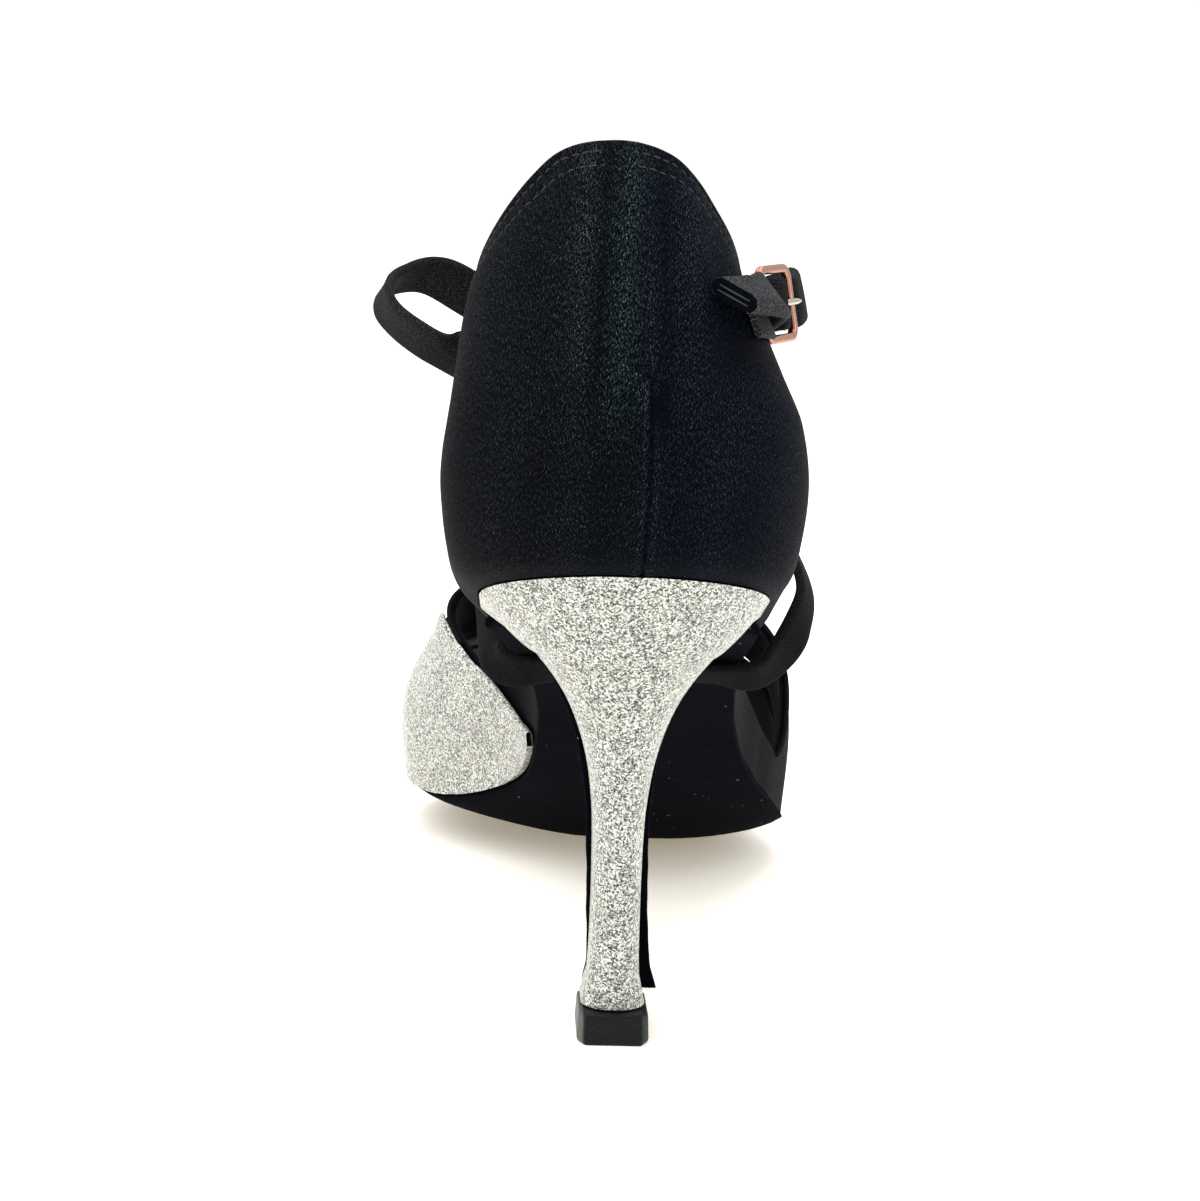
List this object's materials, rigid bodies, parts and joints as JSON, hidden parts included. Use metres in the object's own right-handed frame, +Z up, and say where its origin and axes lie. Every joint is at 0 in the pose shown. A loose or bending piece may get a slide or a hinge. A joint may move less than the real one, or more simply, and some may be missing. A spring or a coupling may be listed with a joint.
{
  "type": "ballroom dance shoe",
  "caption": "Open-toe right dance shoe with a high satin counter, glitter side panel, slim flared glitter heel and a long strap crossed over the instep to a buckle.",
  "frame": {"origin": "middle of the heel tip's flat lower face, on the floor", "axes": "+Y towards the toe, +X towards the outer side of the right foot, +Z up"},
  "size_m": [0.088, 0.2289, 0.1465],
  "materials": {
    "satin": "black satin with a soft sheen",
    "glitter": "silver-grey glitter cloth",
    "suede": "black suede, brushed nap",
    "lining": "black lining, matt",
    "tip": "black moulded, half matt",
    "metal": "polished, faint rose tone"
  },
  "bodies": {
    "root": {"upper": "satin", "vamp_panel": "glitter", "insole": "lining", "outsole": "suede", "heel": "glitter", "heel_tip": "tip", "ankle_strap": "satin", "buckle_tab": "satin", "buckle_frame": "metal", "buckle_prong": "metal"}
  },
  "joints": []
}
